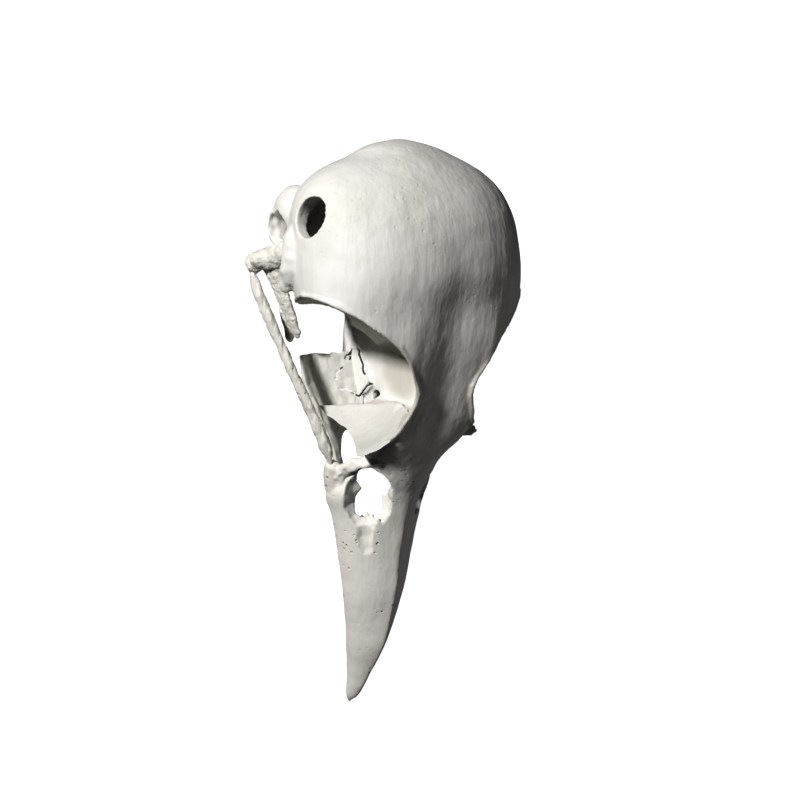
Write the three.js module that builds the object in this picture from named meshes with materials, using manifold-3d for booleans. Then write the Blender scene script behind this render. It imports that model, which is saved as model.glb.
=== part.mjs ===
// Skull of a small crow without the lower jaw. Millimetres, +X along the beak, +Y to its left, +Z up.
// Adult bird: braincase, eye-socket walls and beak are fused bone, the cheek, palate and
// jaw-joint bones are separate. Two drilled holes run through the sides of the braincase.
import * as THREE from "three";
import Module from "manifold-3d";

const wasm = await Module();
wasm.setup();

const BACK_X = 0.6;           // rearmost point of the head
const TIP_X = 68.5;           // tip of the beak
const FLOOR_Z = 0.12;         // level of the jaw joints and beak tip, on which the skull rests
const HEAD_RINGS = 40;        // cross-sections along the head, closer together at the back
const HEAD_AROUND = 28;       // facets round each of them
const REAR_CROWDING = 0.78;
const GAP = 0.3;              // clearance left where two bones meet
const BEAK_HINGE_X = 34.6;    // bending line between forehead and beak
const BORE_X = 8.6;           // drilled hole through the temples
const BORE_Z = 12.6;
const BORE_RADIUS = 2.0;
const SEPTUM_THICKNESS = 1.0; // bone wall between the eye sockets
const SOCKET_WALL = 0.9;      // front wall of each eye socket

// Profile of the head at stations along its length: crown, widest level, base, half width.
const STATIONS = [
  BACK_X, 1.4, 2.6, 3.6, 5.5, 8, 10, 14, 18, 22, 26,
  30, 33, 36, 39, 42, 47, 53, 59, 64, 67, TIP_X,
];
const CROWN = [
  10.8, 13.6, 15.4, 16.8, 18.7, 20.4, 21.1, 21.5, 20.7, 20.2, 19.4,
  18.3, 16.6, 14.4, 12.5, 11.5, 10.5, 9.3, 7.1, 4, 1.8, 0.3,
];
const WIDEST = [
  10.8, 11, 11.2, 11.2, 11.2, 11.6, 12.2, 13, 14.1, 15.5, 16.6,
  16.2, 14.2, 9.3, 5.9, 5.6, 5.4, 4.9, 3.3, 1.7, 0.6, 0.2,
];
const BASE = [
  10.8, 8.2, 6.6, 5, 3.2, 2.3, 2, 1.8, 2.2, 4, 6,
  6.5, 6.8, 6.6, 5.6, 5.3, 4.6, 3.4, 2.2, 1, 0.3, 0.1,
];
const HALF_WIDTH = [
  0, 3.9, 6.3, 8.8, 11.5, 12.8, 13.2, 13.5, 13.1, 12, 8.8,
  6.3, 5.6, 5, 6.8, 5.9, 4.8, 3.7, 2.3, 1.2, 0.7, 0,
];
const FURROW_END = 40;
const FURROW_STATIONS = [0, 9, 14, 18, 26, 30, 36, FURROW_END];
const FURROW_DEPTH = [0, 0, 0.6, 0.9, 0.9, 0.7, 0.3, 0];
const FURROW_SPREAD = 2.2;

const sample = (at, values, x) => new THREE.CubicInterpolant(at, values, 1).evaluate(x)[0];

// A closed solid from a geometry, with the vertices that its seams and poles repeat merged.
const MERGE_STEPS_PER_MM = 1e4;
const solid = (geometry) => {
  const bare = geometry.clone().deleteAttribute("normal").deleteAttribute("uv");
  const at = bare.attributes.position;
  const keys = new Map();
  const vertices = [];
  const order = [];
  for (let i = 0; i < at.count; i += 1) {
    const point = [at.getX(i), at.getY(i), at.getZ(i)];
    const key = point.map((v) => Math.round(v * MERGE_STEPS_PER_MM)).join();
    if (!keys.has(key)) {
      keys.set(key, vertices.length / 3);
      vertices.push(...point);
    }
    order.push(keys.get(key));
  }
  const corners = bare.index ? [...bare.index.array].map((i) => order[i]) : order;
  const faces = [];
  for (let i = 0; i < corners.length; i += 3) {
    const [a, b, c] = corners.slice(i, i + 3);
    if (a !== b && b !== c && a !== c) faces.push(a, b, c);
  }
  return new wasm.Manifold(new wasm.Mesh({
    numProp: 3,
    vertProperties: new Float32Array(vertices),
    triVerts: new Uint32Array(faces),
  }));
};

// An ellipsoid at a point, from its three radii and its turns about Y and Z.
const ball = (x, y, z, rx, ry, rz, turnY = 0, turnZ = 0, around = 12) => {
  const shape = new THREE.SphereGeometry(1, around, Math.round(around * 0.6));
  shape.scale(rx, ry, rz).rotateY(turnY).rotateZ(turnZ).translate(x, y, z);
  return solid(shape);
};

const block = (x0, x1, y0, y1, z0, z1) => {
  const shape = new THREE.BoxGeometry(x1 - x0, y1 - y0, z1 - z0);
  return solid(shape.translate((x0 + x1) / 2, (y0 + y1) / 2, (z0 + z1) / 2));
};

// A bone that follows a curve: its cross-section is an ellipse whose size changes along the way.
// END_FULLNESS says how soon it reaches its full size from each rounded end.
const END_FULLNESS = 2.2;
const limb = (points, widths, heights, grow = 0, steps = 8, around = 8) => {
  const curve = new THREE.CatmullRomCurve3(points.map((p) => new THREE.Vector3(...p)));
  const shape = new THREE.SphereGeometry(1, around, steps);
  const at = shape.attributes.position;
  const stops = points.map((_, i) => i / (points.length - 1));
  for (let i = 0; i < at.count; i += 1) {
    const along = Math.acos(THREE.MathUtils.clamp(-at.getY(i), -1, 1)) / Math.PI;
    const ring = Math.sqrt(Math.max(0, 1 - at.getY(i) ** 2));
    const round = Math.min(1, ring * END_FULLNESS);
    const turn = Math.atan2(at.getZ(i), at.getX(i));
    const centre = curve.getPoint(along);
    const ahead = curve.getTangent(along);
    const side = new THREE.Vector3(ahead.y, -ahead.x, 0).normalize();
    const up = new THREE.Vector3().crossVectors(side, ahead);
    const wide = (sample(stops, widths, along) + grow) * round;
    const high = (sample(stops, heights, along) + grow) * round;
    centre.addScaledVector(side, Math.cos(turn) * wide).addScaledVector(up, Math.sin(turn) * high);
    at.setXYZ(i, centre.x, centre.y, centre.z);
  }
  return solid(shape);
};

const mirrored = (shape) => shape.mirror([0, 1, 0]);
const bothSides = (shape) => shape.add(mirrored(shape));

// The closed outer form of head and beak, with a shallow furrow along the forehead.
const head = () => {
  const shape = new THREE.SphereGeometry(1, HEAD_AROUND, HEAD_RINGS);
  const at = shape.attributes.position;
  for (let i = 0; i < at.count; i += 1) {
    const polar = Math.acos(THREE.MathUtils.clamp(-at.getY(i), -1, 1)) / Math.PI;
    const share = polar * (1 - REAR_CROWDING + REAR_CROWDING * polar);
    const x = BACK_X + (TIP_X - BACK_X) * share;
    const turn = Math.atan2(at.getX(i), at.getZ(i));
    const end = i <= HEAD_AROUND || i >= at.count - HEAD_AROUND - 1 ? 0 : 1;
    const level = sample(STATIONS, WIDEST, x);
    const crown = sample(STATIONS, CROWN, x) - level;
    const base = level - sample(STATIONS, BASE, x);
    const across = end * Math.max(0, sample(STATIONS, HALF_WIDTH, x)) * Math.cos(turn);
    const rise = end * Math.sin(turn);
    const depth = sample(FURROW_STATIONS, FURROW_DEPTH, Math.min(x, FURROW_END));
    const furrow = depth * Math.exp(-((across / FURROW_SPREAD) ** 2));
    const z = level + (rise > 0 ? (crown - furrow) * rise : base * rise);
    at.setXYZ(i, x, across, z);
  }
  return solid(shape);
};

// Eye sockets: one large hollow each side, open to the side and below.
const SOCKET_CENTRE = [25.2, -10.6, 11.6];
const SOCKET_RADII = [8.9, 10.7, 9.6];
const SOCKET_TURN = 0.18;
const SOCKET_FACETS = 20;
const socketShape = (grow) => {
  const radii = SOCKET_RADII.map((r) => r + grow);
  return ball(...SOCKET_CENTRE, ...radii, 0, SOCKET_TURN, SOCKET_FACETS);
};
const socket = socketShape(0);

// The open underside between the sockets and behind the palate.
const underside = ball(27.6, 0, 1.4, 10.6, 16, 6.6, 0, 0, SOCKET_FACETS)
  .add(bothSides(ball(20, -7.6, 3.4, 3.4, 5.4, 4.6)));

// Front wall of each socket, with the small tear bone at its outer edge.
const wallBlock = (grow) => socketShape(SOCKET_WALL + grow)
  .intersect(block(28.8 - grow, 36, -7.4 - grow, -SEPTUM_THICKNESS / 2 - GAP + grow, 3 - grow, 16))
  .intersect(ball(32, -2.6, 9.4, 5.6 + grow, 5 + grow, 6 + grow, -0.25, 0, 16))
  .subtract(ball(34.8, -8.2, 5.2, 4.2 - grow, 3.8 - grow, 6.0 - grow))
  .add(ball(32.3, -6.3, 13.3, 1.1 + grow, 0.9 + grow, 1.5 + grow, 0.3, 0, 10));

// Nose hollow, open to the palate, with a nostril in each side of the beak.
const noseHollow = ball(34.4, 0, 7, 5.4, 5.4, 6.4, 0.35, 0, 16)
  .add(ball(40.4, 0, 6.4, 5.4, 4.6, 3.8, 0, 0, 16));
const nostril = ball(40.0, -4.9, 10.8, 4.3, 3.1, 2.8, 0.2, 0.1, 16);
const nasalBar = limb([[33.6, -3.2, 14.6], [34.6, -4.7, 11.6], [36, -5.8, 8.4], [38.4, -6.0, 7.0]],
  [0.7, 0.8, 0.8, 0.6], [1.0, 1.1, 1.1, 0.8]);
const cheekRoot = limb([[35.2, -6.6, 7.3], [37.6, -6.2, 6.4], [41, -5.2, 6.2]],
  [0.9, 1, 0.7], [1, 1.1, 0.8]);

// The wall between the sockets and the rod of bone below it.
const septum = block(17, 31.5, -SEPTUM_THICKNESS / 2, SEPTUM_THICKNESS / 2, 0.8, 17.6)
  .intersect(ball(25.6, 0, 9.5, 8.5, 4, 9.8, 0, 0, 18));
const rostrum = limb([[15, 0, 2.6], [20.5, 0, 1.6], [26, 0, 1.2], [31.5, 0, 4.4]],
  [1.9, 0.9, 0.7, 0.6], [1.3, 0.9, 0.8, 0.7]);

// Jaw-joint bone: two rounded joints at its foot, a post up to the braincase and a blade forwards.
const quadrate = (grow) => ball(13.7, -12.1, 1.0, 1.2 + grow, 1.0 + grow, 0.9 + grow, 0, 0, 10)
  .add(ball(12.9, -9.8, 1.0, 1 + grow, 1.2 + grow, 0.9 + grow, 0, 0, 10))
  .add(limb([[13.2, -11.9, 1.2], [13.0, -11.2, 3.4], [11.8, -10.9, 6.4]], [1.0, 1.1, 0.9], [1.5, 1.3, 1.0], grow))
  .add(limb([[13.4, -11.2, 2.6], [17.5, -9.8, 3.2], [22.1, -8.2, 2.8]], [0.5, 0.5, 0.4], [1.7, 1.3, 1.0], grow));

// Cheek bar, a thin rod from the jaw joint to the root of the beak, and the rod below the palate.
const JUGAL_LINE = [
  [13.7, -12.6, 0.9], [18, -11.8, 2.1], [22.9, -10.5, 3.7],
  [28.9, -8.9, 5.9], [32.7, -7.7, 6.9], [35.6, -6.9, 7.2],
];
const jugal = (grow) => limb(JUGAL_LINE,
  [0.6, 0.6, 0.6, 0.6, 0.6, 0.5], [0.8, 0.75, 0.75, 0.8, 0.9, 0.8], grow, 16);
const pterygoid = (grow) => limb([[14.4, -9.6, 1.6], [18.3, -8.7, 1.2], [22.6, -7.6, 1.0]],
  [0.7, 0.45, 0.6], [0.7, 0.5, 0.6], grow);

// Palate bone: a thin shelf, broad and square behind, narrowing to a strut under the nose.
const PALATE_THICKNESS = 0.9;
const PALATE_STATIONS = [23, 27, 30.5, 34.4, 38.5];
const PALATE_LEVEL = [0.8, 1.5, 2.8, 4.5, 5.6];
const PALATE_OUTER = [6.4, 6.4, 5.6, 4.8, 4.5];
const PALATE_INNER = [1.5, 1.3, 2.2, 3.6, 3.6];
const PALATE_MIDDLE_X = 31.2;
const PALATE_HALF_LENGTH = 7;
const palatine = (grow) => {
  const shape = new THREE.BoxGeometry(2, 2, 2, 12, 2, 1);
  const at = shape.attributes.position;
  for (let i = 0; i < at.count; i += 1) {
    const x = PALATE_MIDDLE_X + at.getX(i) * (PALATE_HALF_LENGTH + grow);
    const outer = sample(PALATE_STATIONS, PALATE_OUTER, x) + grow;
    const inner = sample(PALATE_STATIONS, PALATE_INNER, x) - grow;
    const y = -(outer + inner) / 2 + (at.getY(i) * (outer - inner)) / 2;
    const z = sample(PALATE_STATIONS, PALATE_LEVEL, x) + at.getZ(i) * (PALATE_THICKNESS / 2 + grow);
    at.setXYZ(i, x, y, z);
  }
  return solid(shape);
};

// Features of the braincase: the cheek process behind the eye, the ear and its rim, the hollow
// for the jaw muscle, the opening for the spine and the drilled hole.
const cheekProcess = limb([[10.8, -12.3, 10.4], [13.6, -12.9, 8.6], [16.3, -12.6, 7.8]],
  [0.8, 0.7, 0.5], [1.4, 1.1, 0.9]);
const earRim = ball(9.8, -10.5, 4.4, 2.4, 1.5, 2)
  .add(ball(8.2, -9.6, 5.8, 2.8, 2.2, 2.8));
const ear = ball(9.6, -12.0, 4.7, 1.2, 1.2, 1.1);
const templeHollow = ball(14.9, -14.2, 10.2, 2.4, 1.9, 1.2, -0.3, 0);
const spineOpening = ball(1.8, 0, 5.0, 2.2, 2.4, 2.0);
const BORE_LENGTH = 40;
const boreRod = new THREE.CylinderGeometry(BORE_RADIUS, BORE_RADIUS, BORE_LENGTH, 24);
const bore = solid(boreRod.translate(BORE_X, 0, BORE_Z));

const whole = head()
  .subtract(bothSides(socket))
  .subtract(underside)
  .subtract(noseHollow)
  .subtract(bothSides(nostril))
  .add(bothSides(nasalBar))
  .add(bothSides(cheekRoot))
  .add(bothSides(earRim))
  .subtract(bothSides(ear))
  .subtract(bothSides(templeHollow))
  .subtract(spineOpening)
  .add(septum)
  .add(rostrum)
  .add(bothSides(cheekProcess))
  .subtract(bore)
  .subtract(bothSides(wallBlock(GAP)))
  .subtract(bothSides(quadrate(GAP)))
  .subtract(bothSides(palatine(GAP)))
  .subtract(bothSides(jugal(GAP)));

// The largest single body of a shape: slivers left by the cuts are dropped.
const main = (shape) => shape.decompose().sort((a, b) => b.volume() - a.volume())[0];
const REACH = 40;
const slab = (x0, x1) => block(x0, x1, -REACH, REACH, -REACH, REACH);
const cranium = main(whole.intersect(slab(-REACH, BEAK_HINGE_X - GAP / 2)));
const beak = main(whole.intersect(slab(BEAK_HINGE_X + GAP / 2, TIP_X + REACH)));

// Each bone is a mesh of its own, centred along the length and set down on the floor.
const group = new THREE.Group();
const put = (name, shape, colour) => {
  const mesh = shape.getMesh();
  const geometry = new THREE.BufferGeometry();
  const points = new Float32Array(mesh.vertProperties);
  geometry.setAttribute("position", new THREE.BufferAttribute(points, 3));
  geometry.setIndex(new THREE.BufferAttribute(mesh.triVerts, 1));
  geometry.translate(-(BACK_X + TIP_X) / 2, 0, -FLOOR_Z);
  geometry.computeVertexNormals();
  const bone = new THREE.MeshStandardMaterial({ color: colour, roughness: 0.7 });
  const node = new THREE.Mesh(geometry, bone);
  node.name = name;
  group.add(node);
};

const PALE = 0xd9d4c6;
const WARM = 0xd4cebf;
const DARK = 0xcfc8b8;
const wall = wallBlock(0).subtract(socket).subtract(palatine(GAP)).subtract(jugal(GAP));
put("cranium", cranium, PALE);
put("beak", beak, WARM);
for (const [side, turned] of [["right", (shape) => shape], ["left", mirrored]]) {
  put(`antorbital_wall_${side}`, turned(main(wall)), PALE);
  put(`quadrate_${side}`, turned(main(quadrate(0))), DARK);
  put(`jugal_bar_${side}`, turned(main(jugal(0).subtract(quadrate(GAP)))), WARM);
  put(`pterygoid_${side}`, turned(main(pterygoid(0).subtract(quadrate(GAP)))), DARK);
  put(`palatine_${side}`, turned(main(palatine(0).subtract(pterygoid(GAP)))), WARM);
}

export default group;
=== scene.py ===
"""Skull of a small crow, a dry cleaned bone without its lower jaw, lying on a pale floor."""
import math

import bmesh
import bpy
import numpy as np
from mathutils import Matrix, Vector, noise


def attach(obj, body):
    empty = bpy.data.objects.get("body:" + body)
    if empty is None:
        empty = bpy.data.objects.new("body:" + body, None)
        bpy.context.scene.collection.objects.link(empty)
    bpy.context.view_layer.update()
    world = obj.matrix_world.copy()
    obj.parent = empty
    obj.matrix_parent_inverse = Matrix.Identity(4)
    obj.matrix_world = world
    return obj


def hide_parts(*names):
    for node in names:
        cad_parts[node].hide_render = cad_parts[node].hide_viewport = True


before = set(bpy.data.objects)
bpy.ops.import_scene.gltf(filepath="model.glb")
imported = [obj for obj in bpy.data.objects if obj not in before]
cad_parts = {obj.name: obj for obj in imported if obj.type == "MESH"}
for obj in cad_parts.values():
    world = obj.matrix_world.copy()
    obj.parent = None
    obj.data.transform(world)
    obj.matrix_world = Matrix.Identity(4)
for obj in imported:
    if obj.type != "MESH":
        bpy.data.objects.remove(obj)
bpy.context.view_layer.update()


# The head: braincase, eye-socket walls and beak, which in an adult bird are one shell of thin
# fused bone. It is a closed form drawn along the head, from which the brain's hollow, the
# sockets, the nose hollow and the nostrils are cut, and to which the thin inner bones are added.
BACK_X = 0.6
NAPE_X = 2.6
TIP_X = 68.5
MIDDLE_X = (BACK_X + TIP_X) / 2
FLOOR_Z = 0.12
HINGE_X = 34.6
STATIONS = [
    BACK_X, 1.4, 2.6, 3.6, 5.5, 8, 10, 14, 18, 22, 26,
    30, 33, 36, 39, 42, 47, 53, 59, 64, 67, TIP_X,
]
CROWN = [
    10.8, 13.6, 15.4, 16.8, 18.7, 20.4, 21.1, 21.5, 20.7, 20, 18.8,
    17.4, 16.1, 14.4, 12.5, 11.5, 10.5, 9.3, 7.1, 4, 1.8, 0.3,
]
WIDEST = [
    10.8, 11, 11.2, 11.2, 11.2, 11.6, 12.2, 13, 14.1, 15.5, 16.6,
    16.2, 14.2, 9.3, 5.9, 5.6, 5.4, 4.9, 3.3, 1.7, 0.6, 0.2,
]
BASE = [
    10.8, 8.2, 6.6, 5, 3.2, 2.3, 2, 1.8, 2.2, 4, 6,
    6.5, 6.8, 6.6, 5.6, 5.3, 4.6, 3.4, 2.2, 1, 0.3, 0.1,
]
HALF_WIDTH = [
    0, 3.9, 6.3, 8.8, 11.5, 12.8, 13.2, 13.5, 13.1, 12, 8.8,
    6.3, 5.6, 5, 6.8, 5.9, 4.8, 3.7, 2.3, 1.2, 0.7, 0,
]
FURROW_AT = [0, 9, 14, 18, 26, 30, 36, 40]
FURROW_DEEP = [0, 0, 0.3, 0.5, 0.65, 0.6, 0.3, 0]
FURROW_SPREAD = 2.4
BROW_AT = [0, 17, 21, 27, 32, 34.5, 36, 40]
BROW_LIFT = [0, 0, 0.2, 0.3, 0.15, 0, 0, 0]
BROW_Y = 5.0
RIDGE_AT = [0, 34, 42, 60, 70]
RIDGE_SHARP = [0, 0, 0.6, 0.8, 0.3]
SWELL = ((0.14, 5.5, 3.0), (0.05, 1.7, 8.0))
SKIN_VOXEL = 0.15
SKIN_KEPT = 0.34
SKIN_MARKS = (0.02, 0.6, 3.0)


def smooth_line(at, values, x):
    """The value at x of a smooth curve through the values, which runs straight at its ends."""
    at = np.asarray(at, float)
    values = np.asarray(values, float)
    x = np.clip(x, at[0], at[-1])
    i = np.clip(np.searchsorted(at, x, side="right"), 1, len(at) - 1)
    first = i == 1
    last = i == len(at) - 1
    t0, t1 = at[i - 1], at[i]
    v0, v1 = values[i - 1], values[i]
    before = np.where(first, 2 * t0 - t1, at[np.maximum(i - 2, 0)])
    after = np.where(last, 2 * t1 - t0, at[np.minimum(i + 1, len(at) - 1)])
    v_before = np.where(first, v1, values[np.maximum(i - 2, 0)])
    v_after = np.where(last, v0, values[np.minimum(i + 1, len(at) - 1)])
    half = (t1 - t0) / 2
    w0 = half / (t0 - before)
    w1 = half / (after - t1)
    p = (x - t0) / (t1 - t0)
    return (
        (-w0 * p**3 + 2 * w0 * p**2 - w0 * p) * v_before
        + ((1 + w0) * p**3 - (1.5 + 2 * w0) * p**2 + (w0 - 0.5) * p + 1) * v0
        + (-(1 + w1) * p**3 + (1.5 + w1) * p**2 + 0.5 * p) * v1
        + (w1 * p**3 - w1 * p**2) * v_after
    )


def points_of(bm):
    return np.array([vert.co for vert in bm.verts])


def move_points(bm, points):
    for vert, point in zip(bm.verts, points):
        vert.co = point


def roughen(bm, depth, grain, seed=0.0, along=1.0):
    """Moves each point along its normal by a smooth random amount, up to depth, over grain mm.
    With along over 1 the marks are that much longer than they are wide."""
    bm.normal_update()
    shift = Vector((seed, -seed, 2 * seed))
    for vert in bm.verts:
        x, y, z = vert.co / grain
        vert.co += vert.normal * (depth * noise.noise(Vector((x / along, y, z)) + shift))


def body_of(bm, name):
    """The finished form as a body in the scene."""
    mesh = bpy.data.meshes.new(name)
    bm.to_mesh(mesh)
    bm.free()
    body = bpy.data.objects.new(name, mesh)
    bpy.context.scene.collection.objects.link(body)
    return body


def settle(body):
    """Applies the modifiers of a body to its mesh."""
    graph = bpy.context.evaluated_depsgraph_get()
    mesh = bpy.data.meshes.new_from_object(body.evaluated_get(graph))
    body.modifiers.clear()
    old = body.data
    body.data = mesh
    bpy.data.meshes.remove(old)
    return body


def carve(body, tool, operation="DIFFERENCE"):
    """Cuts a tool out of a body, or joins it on or keeps what they share, and uses the tool up."""
    cut = body.modifiers.new("cut", "BOOLEAN")
    cut.object = tool
    cut.operation = operation
    cut.solver = "MANIFOLD"
    settle(body)
    bpy.data.objects.remove(tool)


def fuse(body, voxel, softening=3):
    """Melts a body into one skin of even facets and eases its edges."""
    skin = body.modifiers.new("skin", "REMESH")
    skin.mode = "VOXEL"
    skin.voxel_size = voxel
    ease = body.modifiers.new("ease", "SMOOTH")
    ease.factor = 0.5
    ease.iterations = softening
    return settle(body)


def egg(x, y, z, rx, ry, rz, turn_y=0.0, turn_z=0.0, rough=0.0, grain=2.0, fine=4):
    """An ellipsoid at a point, with an uneven skin where rough is given."""
    bm = bmesh.new()
    place = (
        Matrix.Translation((x, y, z))
        @ Matrix.Rotation(turn_z, 4, "Z")
        @ Matrix.Rotation(turn_y, 4, "Y")
        @ Matrix.Diagonal((rx, ry, rz, 1))
    )
    bmesh.ops.create_icosphere(bm, subdivisions=fine, radius=1, matrix=place)
    if rough:
        roughen(bm, rough, grain, x)
        roughen(bm, rough * 0.5, grain * 0.35, y)
    return body_of(bm, "egg")


def rod(line, widths, heights, rough=0.0, grain=1.2):
    """A bone along a curve, oval in section, with rounded ends. Each point has its half width and
    half height, and the points between follow smoothly."""
    bm = bmesh.new()
    bmesh.ops.create_uvsphere(bm, u_segments=20, v_segments=36, radius=1)
    unit = points_of(bm)
    stops = np.linspace(0, 1, len(line))
    line = np.array(line, float)
    along = np.arccos(np.clip(-unit[:, 2], -1, 1)) / math.pi
    ring = np.sqrt(np.clip(1 - unit[:, 2] ** 2, 0, 1))
    full = np.minimum(1, ring * 2.2)
    turn = np.arctan2(unit[:, 1], unit[:, 0])
    centre = np.stack([smooth_line(stops, line[:, k], along) for k in range(3)], 1)
    step = 1e-3
    ahead = np.stack(
        [
            smooth_line(stops, line[:, k], along + step)
            - smooth_line(stops, line[:, k], along - step)
            for k in range(3)
        ],
        1,
    )
    ahead /= np.linalg.norm(ahead, axis=1)[:, None]
    side = np.stack([ahead[:, 1], -ahead[:, 0], np.zeros(len(ahead))], 1)
    side /= np.linalg.norm(side, axis=1)[:, None]
    up = np.cross(side, ahead)
    wide = (np.cos(turn) * full * smooth_line(stops, widths, along))[:, None]
    high = (np.sin(turn) * full * smooth_line(stops, heights, along))[:, None]
    move_points(bm, centre + side * wide + up * high)
    bmesh.ops.recalc_face_normals(bm, faces=bm.faces)
    if rough:
        roughen(bm, rough, grain, line[0][0])
    return body_of(bm, "rod")


def weather(body, depth, grain, along=1.0):
    """Gives a finished bone the fine uneven skin of dry bone."""
    bm = bmesh.new()
    bm.from_mesh(body.data)
    roughen(bm, depth, grain, 2.0, along)
    roughen(bm, depth * 0.6, grain * 0.45, 5.0, along)
    bm.to_mesh(body.data)
    bm.free()
    return body


def mirrored(body):
    """The same body on the bird's other side."""
    bm = bmesh.new()
    bm.from_mesh(body.data)
    bmesh.ops.scale(bm, vec=(1, -1, 1), verts=bm.verts)
    bmesh.ops.reverse_faces(bm, faces=bm.faces)
    return body_of(bm, body.name + "_twin")


def both(body, tool, operation="DIFFERENCE"):
    """Works a right-hand tool and its mirror image into a body."""
    twin = mirrored(tool)
    carve(body, tool, operation)
    carve(body, twin, operation)


def copy_of(body):
    twin = body.copy()
    twin.data = body.data.copy()
    bpy.context.scene.collection.objects.link(twin)
    return twin


def roof(x, y):
    """Height of the top of the head, with its middle furrow and the raised brows beside it."""
    level = smooth_line(STATIONS, WIDEST, x)
    half = np.maximum(1e-6, smooth_line(STATIONS, HALF_WIDTH, x))
    arch = np.sqrt(np.clip(1 - (y / half) ** 2, 0, 1))
    furrow = smooth_line(FURROW_AT, FURROW_DEEP, x) * np.exp(-((y / FURROW_SPREAD) ** 2))
    brow = smooth_line(BROW_AT, BROW_LIFT, x) * np.exp(-((np.abs(y) - BROW_Y) ** 2))
    return level + (smooth_line(STATIONS, CROWN, x) - level - furrow) * arch + brow


def head_form():
    """The closed outer form of the head, drawn from a ball of rings from back to tip. Its points
    are in millimetres: forwards along the head, to its left and up."""
    bm = bmesh.new()
    bmesh.ops.create_uvsphere(bm, u_segments=112, v_segments=190, radius=1)
    unit = points_of(bm)
    polar = np.arccos(np.clip(-unit[:, 2], -1, 1)) / math.pi
    x = BACK_X + (TIP_X - BACK_X) * polar * (0.22 + 0.78 * polar)
    turn = np.arctan2(unit[:, 1], unit[:, 0])
    end = np.where((polar < 1e-6) | (polar > 1 - 1e-6), 0, 1)
    level = smooth_line(STATIONS, WIDEST, x)
    y = end * np.maximum(0, smooth_line(STATIONS, HALF_WIDTH, x)) * np.cos(turn)
    low = level + end * (level - smooth_line(STATIONS, BASE, x)) * np.sin(turn)
    z = np.where(end * np.sin(turn) > 0, roof(x, y), low)
    sharp = smooth_line(RIDGE_AT, RIDGE_SHARP, x) * np.clip(np.sin(turn), 0, 1)
    y *= 1 - sharp * (1 - np.abs(np.cos(turn)))
    move_points(bm, np.stack([x, y, z], 1))
    bmesh.ops.recalc_face_normals(bm, faces=bm.faces)
    back = [vert for vert in bm.verts if vert.co.x < NAPE_X]
    for _ in range(40):
        bmesh.ops.smooth_vert(
            bm, verts=back, factor=0.5, use_axis_x=True, use_axis_y=True, use_axis_z=True
        )
    for depth, grain, seed in SWELL:
        roughen(bm, depth, grain, seed)
    return body_of(bm, "head")


# The right socket as two balls, each with its middle, its radii and its turns about Y and Z.
EYE_BALL = ((25.2, -10.6, 11.6), (8.75, 10.4, 9.3), (0, 0.18))
BROW_BALL = ((25.27, -10.55, 10.56), (7.35, 11.2, 10.35), (-0.52, -0.53))
BROW_SHIFT = (0.75, 2.3, -2.9)
SOCKET_GRAIN = 2.4
SOCKET_GROWTH = -0.15
BRAIN_WALL = 0.8


def ball(form, grow=0.0, rough=0.0):
    at, radii, turns = form
    return egg(*at, *[radius + grow for radius in radii], *turns, rough, SOCKET_GRAIN, 5)


def socket_form(grow=0.0, rough=0.0):
    """The hollow for the right eye: a ball, drawn out behind under the brow."""
    behind = ball(BROW_BALL, grow, rough)
    deeper = copy_of(behind)
    deeper.data.transform(Matrix.Translation(BROW_SHIFT))
    carve(behind, deeper, "UNION")
    carve(behind, egg(19.8, -10, 12, 10.6, 18, 18), "INTERSECT")
    hollow = ball(EYE_BALL, grow, rough)
    carve(hollow, behind, "UNION")
    return hollow


head = head_form()
outer = copy_of(head)
brain = egg(11.6, 0, 11.6, 9.2, 12.1, 8.6)
both(brain, socket_form(BRAIN_WALL))
carve(head, brain)
both(head, socket_form(SOCKET_GROWTH, rough=0.2))

# The open underside, and the nose hollow in the root of the beak.
carve(head, egg(27.6, 0, 1.4, 10.6, 16, 6.6, rough=0.3))
both(head, egg(20, -7.6, 3.4, 3.4, 5.4, 4.6, rough=0.3))
carve(head, egg(34.4, 0, 7, 5.4, 5.4, 6.4, 0.35, rough=0.25))
carve(head, egg(40.4, 0, 6.4, 5.4, 4.6, 3.8, rough=0.2))

# Nostrils: a long opening each side whose front end is a sunken floor with a torn edge.
TORN_BITES = [(42.1, 11.0, 0.7), (41.7, 9.8, 0.5), (41.5, 8.7, 0.4), (41.8, 7.7, 0.5)]
both(head, egg(39.6, -4.9, 10.9, 4.3, 3.1, 2.8, 0.2, 0.1, rough=0.3, grain=1.3))
both(head, egg(43.6, -4.6, 10.2, 3.6, 1.6, 1.7, 0.25, 0.2, rough=0.12, grain=1.0))
floor_plate = egg(45.4, -2.5, 8.8, 4.2, 0.5, 3.2, 0.12, 0.08, rough=0.12, grain=0.8)
carve(floor_plate, outer, "INTERSECT")
for x, z, reach in TORN_BITES:
    carve(floor_plate, egg(x, -2.6, z, reach, 1.5, reach * 0.8, rough=0.15, grain=0.5))
both(head, floor_plate, "UNION")

# The bars round the nostrils, where beak, cheek bar and forehead meet.
both(
    head,
    rod(
        [(33.6, -3.2, 14.6), (34.6, -4.7, 11.6), (36, -5.8, 8.4), (38.4, -6, 7)],
        [0.5, 0.5, 0.5, 0.5], [0.7, 0.75, 0.8, 0.7], 0.2, 0.7,
    ),
    "UNION",
)
both(
    head,
    rod(
        [(34.6, -5.5, 10.4), (35.7, -6.2, 8.6), (37.2, -6.5, 7.4)],
        [0.3, 0.35, 0.3], [0.4, 0.5, 0.4], 0.2, 0.6,
    ),
    "UNION",
)
both(
    head,
    rod(
        [(35.2, -6.6, 7.3), (37.6, -6.2, 6.4), (41, -5.2, 6.2)],
        [0.75, 0.9, 0.7], [0.9, 1.1, 0.8], 0.12,
    ),
    "UNION",
)

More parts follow.
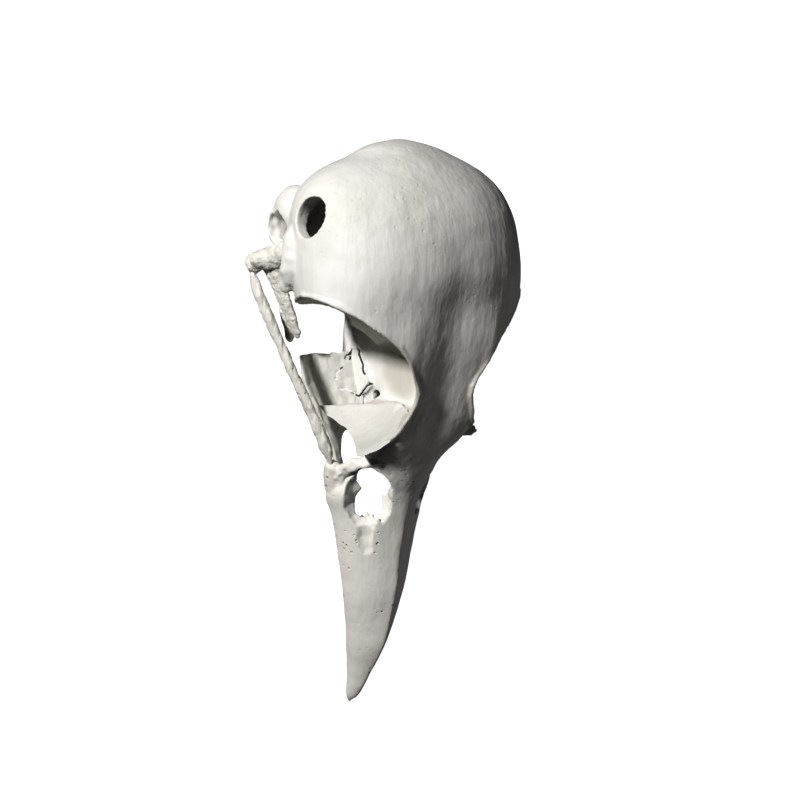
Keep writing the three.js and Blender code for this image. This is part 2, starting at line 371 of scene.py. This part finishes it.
# The ear with its thin rim, and the wing of bone behind it.
both(head, egg(9.8, -10.5, 4.4, 2.4, 1.5, 2, rough=0.2, grain=1.2), "UNION")
both(head, egg(8.2, -9.6, 5.8, 2.8, 2.2, 2.8, rough=0.15), "UNION")
both(head, egg(9.8, -11.9, 5.1, 1.7, 1.6, 1.6, rough=0.2, grain=0.9))
both(
    head,
    rod(
        [(9.4, -12.6, 5.1), (10.2, -9, 5.5), (11.6, -5.4, 6.8)],
        [1.3, 1.3, 1], [1.3, 1.3, 1], 0.2, 0.9,
    ),
)

# The hollow for the jaw muscle in the temple, and the lobe of bone below it that ends in a tip
# behind the eye.
both(
    head,
    rod(
        [
            (9.8, -13.4, 10.8), (12.3, -13.9, 12.1), (14.2, -13.4, 11.3),
            (15.7, -12.7, 9.8), (17.4, -12.2, 8.5),
        ],
        [1.0, 1.6, 2.0, 2.0, 1.4], [0.6, 0.85, 0.85, 0.8, 0.7], 0.12, 0.8,
    ),
)
both(
    head,
    rod(
        [
            (9, -11.8, 8.8), (11.4, -12.4, 9.5), (13.2, -12.6, 9.4),
            (14.8, -12.7, 8.5), (16.4, -12.5, 7.4),
        ],
        [0.9, 1.1, 1.15, 0.85, 0.5], [1.2, 1.5, 1.4, 1.1, 0.7], 0.2, 0.9,
    ),
    "UNION",
)

# The opening for the spine, with the small knob below it on which the neck turned.
carve(head, egg(1.8, 0, 5, 2.6, 2.4, 2))
carve(
    head,
    rod([(7.4, 0, 4.2), (5.4, 0, 3.3), (3.8, 0, 3.2)], [1.3, 1.1, 1.0], [1.1, 0.9, 0.8]),
    "UNION",
)

# The wall between the sockets, pierced by small holes, with a thicker flake low down in it and
# the rod of bone along its foot.
WALL_HOLES = [(28.8, 7.0, 0.75, 0.7), (29.7, 4.4, 0.6, 0.5), (19.2, 8.4, 1.2, 1.5)]
FLAKE_EDGE = [
    (23.8, 2.0), (23.8, 4.1), (24.5, 5.2), (25.9, 5.5), (27.1, 6.9), (28.5, 5.7),
    (29.1, 3.9), (28.5, 1.9), (28.0, 0.2), (26.5, 0.7), (25.3, 1.7),
]
FLAKE_THICK = 1.7
FLAKE_FRAYED = 0.45
# Holds the frayed edges and the cracks the same in each run. Unset, they change with the clock.
FRAY_SEED = 1795490862
noise.seed_set(FRAY_SEED)


def slab_of(bm, outline, shift, name):
    """A closed slab over an outline of points, as thick as the shift."""
    bm.faces.new(outline)
    grown = bmesh.ops.extrude_face_region(bm, geom=bm.faces[:])["geom"]
    far = [item for item in grown if isinstance(item, bmesh.types.BMVert)]
    bmesh.ops.translate(bm, vec=shift, verts=far)
    bmesh.ops.triangulate(bm, faces=bm.faces)
    bmesh.ops.recalc_face_normals(bm, faces=bm.faces)
    return body_of(bm, name)


def steps_along(corners, count):
    """Points along a chain of corners, count to each side."""
    for start, stop in zip(corners, corners[1:]):
        for part in range(count):
            yield Vector(start).lerp(Vector(stop), part / count)


def flake_form():
    bm = bmesh.new()
    outline = []
    corners = [(x, -FLAKE_THICK / 2, z) for x, z in FLAKE_EDGE]
    for point in steps_along(corners + corners[:1], 4):
        fray = FLAKE_FRAYED * noise.noise_vector(point * 1.3)
        outline.append(bm.verts.new(point + Vector((fray.x, 0, fray.z))))
    return slab_of(bm, outline, (0, FLAKE_THICK, 0), "flake")


septum = egg(25.6, 0, 9.3, 8.5, 0.4, 8.5, rough=0.12, grain=1.6)
for x, z, wide, high in WALL_HOLES:
    carve(septum, egg(x, 0, z, wide, 1.5, high, rough=0.25, grain=0.6))
carve(septum, flake_form(), "UNION")
carve(head, septum, "UNION")
carve(
    head,
    rod(
        [(15, 0, 2.6), (20.5, 0, 1.6), (26, 0, 1.2), (31.5, 0, 4.4)],
        [1.6, 0.45, 0.4, 0.5], [1.3, 0.8, 0.7, 0.7], 0.15, 1.0,
    ),
    "UNION",
)

# The rim of each socket, a thin rounded edge that follows both balls round the opening.
RIM_THICK = [0.14, 0.2, 0.24, 0.26, 0.28, 0.28, 0.25]
RIM_DEEP = 0.26
BROW_RIM_ENDS = 27.5
EYE_RIM_STARTS = 28.3


def rim_line(form, start, stop, count):
    """Where a ball meets the skin of the head, from one angle round its axis to another."""
    at, radii, (turn_y, turn_z) = form
    around = np.radians(np.linspace(start, stop, count))[:, None]
    inward = np.linspace(0.02, 3.1, 1500)[None, :]
    unit = np.stack(
        [
            np.cos(around) * np.sin(inward),
            -np.cos(inward) + 0 * around,
            np.sin(around) * np.sin(inward),
        ]
    )
    turns = Matrix.Rotation(turn_z, 3, "Z") @ Matrix.Rotation(turn_y, 3, "Y")
    skin = np.einsum("ij,jab->iab", np.array(turns @ Matrix.Diagonal(radii)), unit)
    x, y, z = (skin[k] + at[k] for k in range(3))
    level = smooth_line(STATIONS, WIDEST, x)
    arch = 1 - (y / smooth_line(STATIONS, HALF_WIDTH, x)) ** 2
    under = level - (level - smooth_line(STATIONS, BASE, x)) * np.sqrt(np.clip(arch, 0, 1))
    inside = (z < roof(x, y)) & (z > under) & (arch > 0)
    rows = np.nonzero(inside.any(axis=1))[0]
    first = inside.argmax(axis=1)[rows]
    return np.stack([x[rows, first], y[rows, first], z[rows, first]], 1)


rim = [point for point in rim_line(BROW_BALL, 178, 20, 27) if point[0] < BROW_RIM_ENDS]
rim += [point for point in rim_line(EYE_BALL, 120, -12, 24) if point[0] > EYE_RIM_STARTS]
thick = np.interp(np.linspace(0, 6, len(rim)), range(7), RIM_THICK)
both(head, rod(rim, thick, [RIM_DEEP] * len(rim), 0.2, 0.55), "UNION")

# The drilled hole, straight through both temples.
DRILL_RADIUS = 2
DRILLED_AT = (8.6, 0, 12.6)
drill = bmesh.new()
bmesh.ops.create_cone(
    drill, cap_ends=True, segments=48, radius1=DRILL_RADIUS, radius2=DRILL_RADIUS, depth=40,
    matrix=Matrix.Translation(DRILLED_AT) @ Matrix.Rotation(math.pi / 2, 4, "X"),
)
carve(head, body_of(drill, "drill"))
fuse(head, SKIN_VOXEL)
weather(head, *SKIN_MARKS)
thin = head.modifiers.new("thin", "DECIMATE")
thin.ratio = SKIN_KEPT
settle(head)


# Fine cracks in the thin bone between the sockets: narrow slots that run in the direction ACROSS,
# slantwise down from the open side of the right socket.
ACROSS = Vector((0.19241, 0.61244, -0.76675))
CRACKS = [
    [(25.4, 1.3), (24.9, 1.7), (24.7, 2.3), (25.4, 2.1)],
    [(26.3, 1.0), (26.8, 0.1), (27.4, -0.3), (28.1, -0.3)],
    [(29.1, 0.3), (28.9, 1.5), (29.0, 2.7), (29.2, 3.5)],
    [(23.8, 3.7), (24.7, 4.1), (25.7, 4.6), (26.4, 4.7), (26.9, 5.3)],
    [(29.2, 3.5), (29.3, 4.1), (28.1, 5.3), (27.5, 6.6), (27.1, 5.6)],
]
CRACK_Y = -0.5
CRACK_WIDE = 0.2
CRACK_WAVER = 0.22
CRACK_BEFORE = 9
CRACK_BEHIND = 0.9


def crack_form(line):
    bm = bmesh.new()
    edge = []
    for point in steps_along([(x, CRACK_Y, z) for x, z in line], 3):
        point += CRACK_WAVER * noise.noise_vector(point * 2.1)
        near = bm.verts.new(point - ACROSS * CRACK_BEFORE)
        edge.append((near, bm.verts.new(point + ACROSS * CRACK_BEHIND)))
    for one, two in zip(edge, edge[1:]):
        bm.faces.new((one[0], one[1], two[1], two[0]))
    bm.normal_update()
    bmesh.ops.solidify(bm, geom=bm.faces[:], thickness=CRACK_WIDE)
    bmesh.ops.recalc_face_normals(bm, faces=bm.faces)
    return body_of(bm, "crack")


for line in CRACKS:
    both(head, crack_form(line))


# The finish of the bones: dry ivory with faint stains and a fine grain, told in numbers that vary
# over the surface, and sharper pits where the horn of the beak sat on the bone. Some finishes also
# carry painted shade: darker inside the eye sockets, or a darker bone colour throughout.
class Wire:
    """A socket of a finish. Sums written with it add Math nodes to the same finish."""

    def __init__(self, socket):
        self.socket = socket

    def node(self, kind, settings=None, out=0, **inputs):
        return add_node(self.socket.id_data, kind, settings, out, **inputs)

    def sum(self, operation, *values):
        names = ("Value", "Value_001", "Value_002")
        return self.node("ShaderNodeMath", {"operation": operation}, **dict(zip(names, values)))

    def __add__(self, other):
        return self.sum("ADD", self, other)

    __radd__ = __add__

    def __sub__(self, other):
        return self.sum("SUBTRACT", self, other)

    def __rsub__(self, other):
        return self.sum("SUBTRACT", other, self)

    def __mul__(self, other):
        return self.sum("MULTIPLY", self, other)

    __rmul__ = __mul__

    def above(self, low, high):
        """0 below low, 1 above high, smooth between."""
        return self.node(
            "ShaderNodeMapRange", {"interpolation_type": "SMOOTHSTEP"},
            Value=self, **{"From Min": low, "From Max": high},
        )


def add_node(tree, kind, settings=None, out=0, **inputs):
    """Adds a node, sets it up, joins or fills its sockets and returns one of its outputs."""
    node = tree.nodes.new(kind)
    for name, value in (settings or {}).items():
        setattr(node, name, value)
    for name, value in inputs.items():
        socket = next(s for s in node.inputs if name in (s.identifier, s.name) and s.enabled)
        if isinstance(value, Wire):
            tree.links.new(value.socket, socket)
        else:
            socket.default_value = value
    return Wire(node.outputs[out])


GRAIN_HIGH = 0.00002
FIBRE_HIGH = 0.00008
PIT_DEEP = 0.00016
STAIN_HIGH = 0.00012


def bone_finish(name, pale, dark, grain_turn=(1, 1, 1), pits=0.0, hollow=None):
    """Dry bone: ivory with faint stains, a fine grain that may run along the bone, and pits. Where
    a hollow is given, by its middle and its reach, painted shade darkens the colour inside it on
    both sides."""
    material = bpy.data.materials.new(name)
    material.use_nodes = True
    tree = material.node_tree
    surface = tree.nodes["Principled BSDF"]
    place = add_node(tree, "ShaderNodeTexCoord", out=3)
    stretched = place.node("ShaderNodeMapping", Vector=place, Scale=grain_turn)

    def cloudy(scale, detail, roughness=0.5, where=place):
        return place.node(
            "ShaderNodeTexNoise", Vector=where, Scale=scale, Detail=detail, Roughness=roughness
        )

    stain = cloudy(170.0, 4.0, 0.6)
    cloud = cloudy(60.0, 2.0)
    grain = cloudy(2600.0, 3.0, 0.6, stretched)
    fibre = cloudy(900.0, 3.0, 0.55, stretched)
    cells = place.node("ShaderNodeTexVoronoi", Vector=place, Scale=1300.0)
    pit = (1 - cells.above(0.1, 0.26)) * stain.above(0.5, 0.6) * pits
    shade = stain.above(0.38, 0.72) * 0.25 + cloud.above(0.42, 0.66) * 0.15 + pit * 0.5
    # Painted shade: the colour darkens inside the eye sockets on both sides, where shade falls.
    if hollow:
        away = place.node("ShaderNodeVectorMath", {"operation": "ABSOLUTE"}, Vector=place)
        for operation, value in zip(("SUBTRACT", "DIVIDE"), hollow):
            away = place.node(
                "ShaderNodeVectorMath", {"operation": operation}, Vector=away, Vector_001=value
            )
        near = place.node("ShaderNodeVectorMath", {"operation": "LENGTH"}, 1, Vector=away)
        shade = shade + (1 - near.above(1.01, 1.08)) * 0.75
    colour = place.node(
        "ShaderNodeMix", {"data_type": "RGBA"}, out=2,
        Factor_Float=shade, A_Color=(*pale, 1), B_Color=(*dark, 1),
    )
    relief = grain * GRAIN_HIGH + fibre * FIBRE_HIGH - pit * PIT_DEEP + stain * STAIN_HIGH
    bump = place.node("ShaderNodeBump", Height=relief, Distance=1.0, Strength=1.0)
    rough = stain * 0.2 + 0.46
    tree.links.new(colour.socket, surface.inputs["Base Color"])
    tree.links.new(rough.socket, surface.inputs["Roughness"])
    tree.links.new(bump.socket, surface.inputs["Normal"])
    surface.inputs["Specular IOR Level"].default_value = 0.35
    return material


MM = 0.001


def settle_in_place(body):
    """Moves a body from millimetres along the head to its place in the frame."""
    body.data.transform(
        Matrix.Scale(MM, 4) @ Matrix.Translation((-MIDDLE_X, 0, -FLOOR_Z))
    )
    for face in body.data.polygons:
        face.use_smooth = True


def finish_bone(body, name, material):
    """Names a bone after the solid it stands for, and gives it its finish."""
    body.name = name
    body.data.materials.clear()
    body.data.materials.append(material)
    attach(body, "root")
    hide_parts(name.replace("_bone", ""))


# The skull's finish is darkened inside both eye sockets, given by their middle and reach: painted
# shade.
skull_finish = bone_finish(
    "skull_bone", (0.82, 0.805, 0.77), (0.6, 0.57, 0.51), (0.22, 1, 1), 0.15,
    ((0.00935, 0.0106, 0.01148), (0.0087, 0.0104, 0.0092)),
)
beak_finish = bone_finish("beak_bone", (0.84, 0.82, 0.78), (0.6, 0.55, 0.47), (0.3, 1, 1), 1.0)


def split_head(whole):
    """Parts the head at the bending line of the beak, and keeps its unbroken shading."""
    bm = bmesh.new()
    bm.from_mesh(whole.data)
    bmesh.ops.bisect_plane(
        bm, geom=bm.verts[:] + bm.edges[:] + bm.faces[:],
        plane_co=(HINGE_X, 0, 0), plane_no=(1, 0, 0),
    )
    bm.normal_update()

    def spot(vert):
        return tuple(round(c, 4) for c in vert.co)

    normals = {spot(v): tuple(v.normal) for v in bm.verts}
    joined = bpy.data.meshes.new("joined")
    bm.to_mesh(joined)
    bm.free()
    halves = []
    for keep_front in (False, True):
        half = bmesh.new()
        half.from_mesh(joined)
        drop = [f for f in half.faces if (f.calc_center_median().x > HINGE_X) != keep_front]
        bmesh.ops.delete(half, geom=drop, context="FACES")
        rim = [e for e in half.edges if e.is_boundary]
        caps = bmesh.ops.triangle_fill(half, use_beauty=True, use_dissolve=False, edges=rim)
        cap_faces = {g for g in caps["geom"] if isinstance(g, bmesh.types.BMFace)}
        outward = -1 if keep_front else 1
        for face in cap_faces:
            face.normal_update()
            if face.normal.x * outward < 0:
                face.normal_flip()
        corners = [
            (outward, 0, 0) if face in cap_faces else normals[spot(corner.vert)]
            for face in half.faces
            for corner in face.loops
        ]
        body = body_of(half, "beak_half" if keep_front else "brain_half")
        settle_in_place(body)
        body.data.normals_split_custom_set(corners)
        halves.append(body)
    bpy.data.meshes.remove(joined)
    return halves


cranium, beak = split_head(head)
bpy.data.objects.remove(head)
finish_bone(cranium, "cranium_bone", skull_finish)
finish_bone(beak, "beak_bone", beak_finish)


# The front wall of each eye socket: a thin bowl of bone that hangs from the forehead, open
# below, with the small tear bone on its outer corner.
WALL_EDGE = [
    (29.5, -6.3, 4.3), (29.4, -3.9, 5.9), (29.2, -1.9, 8.6), (28.7, -0.6, 11.0),
    (28.9, -0.4, 14.0), (29.4, -2.4, 16.6), (31.5, -5.2, 16.8), (33.4, -7.2, 14.6),
    (33.6, -7.0, 12.2), (32.9, -5.9, 10.6), (32.2, -5.3, 9.0), (31.6, -5.1, 7.8),
    (31.1, -5.4, 6.6), (30.5, -6.0, 5.4),
]
WALL_AT, WALL_TURNS = EYE_BALL[0], EYE_BALL[2]
WALL_OUTSIDE = (8.85, 10.55, 9.5)
WALL_INSIDE = (8.3, 9.95, 8.9)
WALL_LOW_Z = 8.5
WINDOW_BEFORE = 1.2
WINDOW_BEFORE_LOW = 3
WINDOW_DEEP = 6


def wall_form():
    """The part of a thin bowl that shows through a window drawn round the wall's edge."""
    shell, inside = (
        egg(*WALL_AT, *radii, *WALL_TURNS, 0.08, SOCKET_GRAIN, 5)
        for radii in (WALL_OUTSIDE, WALL_INSIDE)
    )
    carve(shell, inside)
    bm = bmesh.new()
    outline = []
    for point in steps_along(WALL_EDGE + WALL_EDGE[:1], 5):
        point -= ACROSS * (WINDOW_BEFORE_LOW if point.z < WALL_LOW_Z else WINDOW_BEFORE)
        point += 0.12 * noise.noise_vector(point * 1.5)
        outline.append(bm.verts.new(point))
    carve(shell, slab_of(bm, outline, ACROSS * WINDOW_DEEP, "window"), "INTERSECT")
    return weather(fuse(shell, 0.12, 2), 0.03, 0.6)


def place_pair(body, name, material):
    """Sets a right-hand bone and its mirror image in place."""
    twin = mirrored(body)
    for side, piece in (("right", body), ("left", twin)):
        settle_in_place(piece)
        finish_bone(piece, f"{name}_{side}_bone", material)


# The thin bones, the socket walls and the palate bones, have a darker copy of the bone colour:
# painted shade, for bones that lie in shade inside the sockets and under the head.
shaded_thin_finish = bone_finish("thin_bone", (0.7, 0.685, 0.65), (0.54, 0.51, 0.45))
place_pair(wall_form(), "antorbital_wall", shaded_thin_finish)


# The jaw-joint bones, one solid knobbly bone each: two joint faces at the foot, on which the
# skull rests, a post up to the ear where the bone hinges, and a blade forwards with a split tip.
def quadrate_form():
    bone = egg(13.7, -12.1, 1.12, 1.2, 1.0, 0.9, rough=0.2, grain=0.7)
    for lump in [
        egg(12.9, -9.8, 1.12, 1.0, 1.2, 0.9, rough=0.15, grain=0.8),
        egg(13.1, -11.1, 1.9, 1.1, 1.3, 1.0, rough=0.2, grain=0.8),
        rod(
            [(13.2, -11.9, 1.2), (13, -11.2, 3.4), (11.8, -10.9, 6.4)],
            [1.0, 1.1, 0.9], [1.5, 1.3, 1.0], 0.2, 0.9,
        ),
        rod(
            [(13.4, -11.2, 2.6), (17.5, -9.8, 3.2), (21.9, -8.2, 3.3)],
            [0.5, 0.45, 0.3], [1.6, 1.2, 0.7], 0.15, 0.9,
        ),
        rod(
            [(18.5, -9.5, 2.4), (20.4, -8.8, 2.1), (22.2, -8.2, 1.9)],
            [0.3, 0.3, 0.25], [0.7, 0.5, 0.4], 0.12, 0.6,
        ),
    ]:
        carve(bone, lump, "UNION")
    return weather(fuse(bone, 0.09, 2), 0.09, 0.5)


# The jaw bones have a darker copy of the bone colour: painted shade, with the real stains and pits
# on top.
shaded_jaw_finish = bone_finish("jaw_bone", (0.76, 0.74, 0.69), (0.54, 0.5, 0.42), (0.4, 1, 1), 0.6)
place_pair(quadrate_form(), "quadrate", shaded_jaw_finish)


# The cheek bars: thin springy rods of bone, faintly grooved along their length, that run from the
# outer knob of each jaw joint to the root of the beak.
def cheek_bar_form():
    bar = rod(
        [
            (13.7, -12.6, 0.9), (18, -11.8, 2.1), (22.9, -10.5, 3.7),
            (28.9, -8.9, 5.9), (32.7, -7.7, 6.9), (35.8, -6.8, 7.2),
        ],
        [0.6, 0.55, 0.5, 0.5, 0.6, 0.6], [0.8, 0.75, 0.7, 0.75, 0.85, 0.8], 0.16, 1.0,
    )
    return weather(fuse(bar, 0.08, 2), 0.09, 0.3, 6.0)


place_pair(cheek_bar_form(), "jugal_bar", shaded_jaw_finish)


# The braces: short rods of bone under the head, one each side, that hold the inner knob of the
# jaw joint against the back of the palate bone.
def brace_form():
    brace = rod(
        [(14.2, -9.7, 1.7), (18.3, -8.7, 1.2), (22.6, -7.6, 1.0)],
        [0.6, 0.4, 0.6], [0.6, 0.45, 0.55], 0.12, 0.9,
    )
    return weather(fuse(brace, 0.09, 2), 0.05, 0.4, 3.0)


place_pair(brace_form(), "pterygoid", shaded_jaw_finish)


# The palate bones: thin cracked shelves, broad and square behind, each with two low crests along
# it and an inner edge that stands up beside the wall between the sockets.
PALATE_STATIONS = [23, 27, 30.5, 34.4, 38.5]
PALATE_OUTER = [6.4, 6.4, 5.6, 4.8, 4.5]
PALATE_INNER = [0.2, 0.2, 0.9, 3.5, 3.6]
PALATE_HEIGHT = [0.8, 1.5, 2.8, 4.5, 5.6]
PALATE_MIDDLE = 31.2
PALATE_HALF_LONG = 7.0
PALATE_THICK = 0.5
# Each crest has its height, and its place and breadth across the shelf.
PALATE_CRESTS = [(0.45, 0.03, 0.05), (0.15, 0.24, 0.04)]
INNER_EDGE_HIGH = 2.4


def palate_form():
    bm = bmesh.new()
    bmesh.ops.create_grid(bm, x_segments=60, y_segments=16, size=1)
    unit = points_of(bm)
    x = PALATE_MIDDLE + unit[:, 0] * PALATE_HALF_LONG
    outer_y = smooth_line(PALATE_STATIONS, PALATE_OUTER, x)
    inner_y = smooth_line(PALATE_STATIONS, PALATE_INNER, x)
    y = -(outer_y + inner_y) / 2 + unit[:, 1] * (outer_y - inner_y) / 2
    z = smooth_line(PALATE_STATIONS, PALATE_HEIGHT, x)
    span = (1 + unit[:, 1]) / 2
    fade = np.clip((33.5 - x) / 3.5, 0, 1)
    for height, place, breadth in PALATE_CRESTS:
        z += height * np.exp(-(((span - place) / breadth) ** 2)) * fade
    z += INNER_EDGE_HIGH * np.clip((span - 0.22) / 0.78, 0, 1) ** 0.65 * fade
    move_points(bm, np.stack([x, y, z], 1))
    for vert in bm.verts:
        edge = noise.noise(Vector((vert.co.y * 1.6, 3.0, 0)))
        vert.co.x += 0.35 * edge
        vert.co.z += 0.12 * noise.noise(vert.co * 1.1)
    bmesh.ops.recalc_face_normals(bm, faces=bm.faces)
    bmesh.ops.solidify(bm, geom=bm.faces[:], thickness=PALATE_THICK)
    bmesh.ops.recalc_face_normals(bm, faces=bm.faces)
    shelf = fuse(body_of(bm, "shelf"), 0.1, 2)
    weather(shelf, 0.05, 0.7)
    for line in CRACKS:
        carve(shelf, crack_form(line))
    return shelf


place_pair(palate_form(), "palatine", shaded_thin_finish)


# The plain pale floor, a sheet of glowing white paper that rises into a backdrop all round, far
# from the skull, under one studio lamp from low at the right rear and a weak one at the left.
BACKDROP_STEPS = [(1.6, 0.1), (1.3, 0.25), (1.15, 0.45), (1.04, 0.6)]
floor_mesh = bmesh.new()
bmesh.ops.create_circle(floor_mesh, cap_ends=True, segments=96, radius=1)
level = [edge for edge in floor_mesh.edges if edge.is_boundary]
for reach, rise in BACKDROP_STEPS:
    grown = bmesh.ops.extrude_edge_only(floor_mesh, edges=level)["geom"]
    level = [item for item in grown if isinstance(item, bmesh.types.BMEdge)]
    ring = [item for item in grown if isinstance(item, bmesh.types.BMVert)]
    bmesh.ops.scale(floor_mesh, vec=(reach, reach, 1), verts=ring)
    bmesh.ops.translate(floor_mesh, vec=(0, 0, rise), verts=ring)
bmesh.ops.recalc_face_normals(floor_mesh, faces=floor_mesh.faces)
floor = body_of(floor_mesh, "floor")
paper = bpy.data.materials.new("paper")
paper.use_nodes = True
sheet = paper.node_tree.nodes["Principled BSDF"]
sheet.inputs["Base Color"].default_value = (0.8, 0.8, 0.8, 1)
sheet.inputs["Roughness"].default_value = 0.9
sheet.inputs["Emission Color"].default_value = (1, 1, 1, 1)
sheet.inputs["Emission Strength"].default_value = 0.96
floor.data.materials.append(paper)
floor.visible_diffuse = False
floor.visible_glossy = False


def lamp(name, towards, distance, size, power):
    """A round studio lamp that stands in a direction from the skull and faces it."""
    light = bpy.data.lights.new(name, "AREA")
    light.shape = "DISK"
    light.size = size
    light.energy = power
    shade = bpy.data.objects.new(name, light)
    bpy.context.scene.collection.objects.link(shade)
    direction = Vector(towards).normalized()
    facing = direction.to_track_quat("Z", "Y").to_matrix().to_4x4()
    shade.matrix_world = Matrix.Translation(direction * distance) @ facing


lamp("key", towards=(-0.51, -0.79, 0.29), distance=0.6, size=0.06, power=4.3)
lamp("fill", towards=(0.5, 0.85, 0.2), distance=0.9, size=0.9, power=1.6)
world = bpy.data.worlds.new("studio")
world.use_nodes = True
world.node_tree.nodes["Background"].inputs["Color"].default_value = (1, 1, 1, 1)
world.node_tree.nodes["Background"].inputs["Strength"].default_value = 0.012
bpy.context.scene.world = world
bpy.context.scene.view_settings.view_transform = "Standard"
bpy.context.scene.view_settings.gamma = 0.8

# The camera, a plain 50 mm lens, looks down on the skull from its right rear. It is turned on its
# side, so that the beak points to the foot of the view.
CAMERA_AT = (5.26 - MIDDLE_X, -74.58, 104.16 - FLOOR_Z)
CAMERA_RIGHT = (0.00629, 0.78056, 0.62505)
CAMERA_UP = (-0.98129, 0.12509, -0.14633)
CAMERA_BACK = (-0.19241, -0.61244, 0.76675)
camera_data = bpy.data.cameras.new("camera")
camera_data.lens = 50
camera_data.sensor_width = 36
camera_data.clip_start = 0.005
camera = bpy.data.objects.new("camera", camera_data)
bpy.context.scene.collection.objects.link(camera)
turned = Matrix((CAMERA_RIGHT, CAMERA_UP, CAMERA_BACK)).transposed().to_4x4()
camera.matrix_world = Matrix.Translation(Vector(CAMERA_AT) * MM) @ turned
bpy.context.scene.camera = camera
